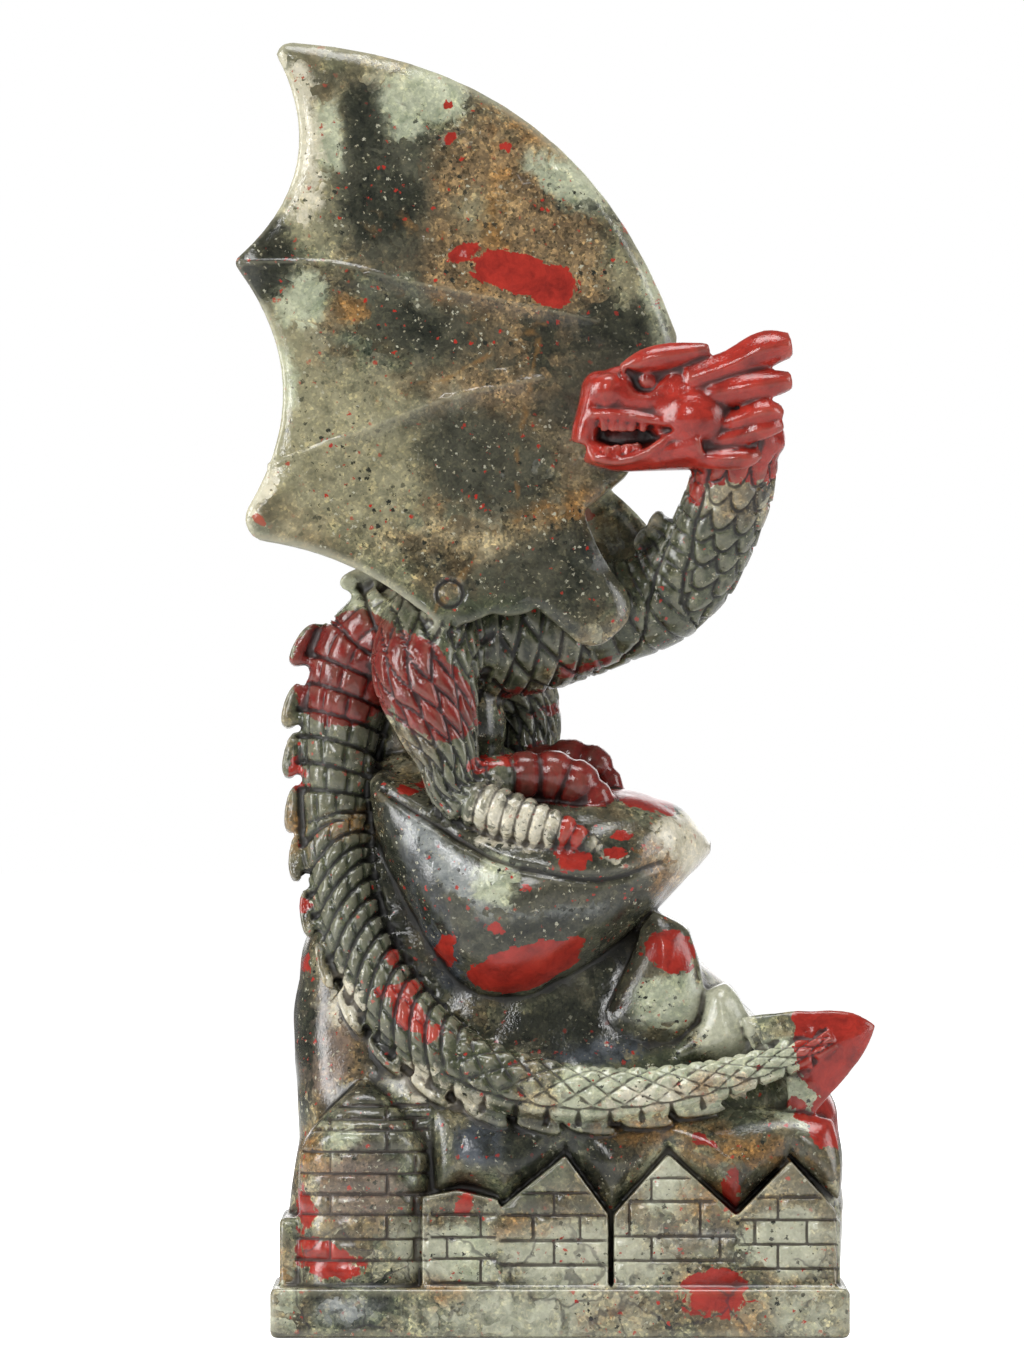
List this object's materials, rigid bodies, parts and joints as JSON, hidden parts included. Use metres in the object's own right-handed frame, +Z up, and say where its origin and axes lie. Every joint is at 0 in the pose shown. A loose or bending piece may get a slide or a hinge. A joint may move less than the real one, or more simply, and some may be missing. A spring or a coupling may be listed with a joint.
{
  "type": "dragon statue",
  "caption": "Dragon carved from one block of polished mottled stone, wings raised, tail round a rock above a walled town on a plinth.",
  "frame": {"origin": "middle of the flat underside of the plinth, on the surface it stands on", "axes": "+Z up; -Y towards the carved front with the town; +X towards the tail's tip, the wings' trailing edges at -X"},
  "size_m": [0.0999, 0.05, 0.2028],
  "materials": {
    "stone": "polished"
  },
  "bodies": {
    "root": {"dragon_statue": "stone"}
  },
  "joints": []
}
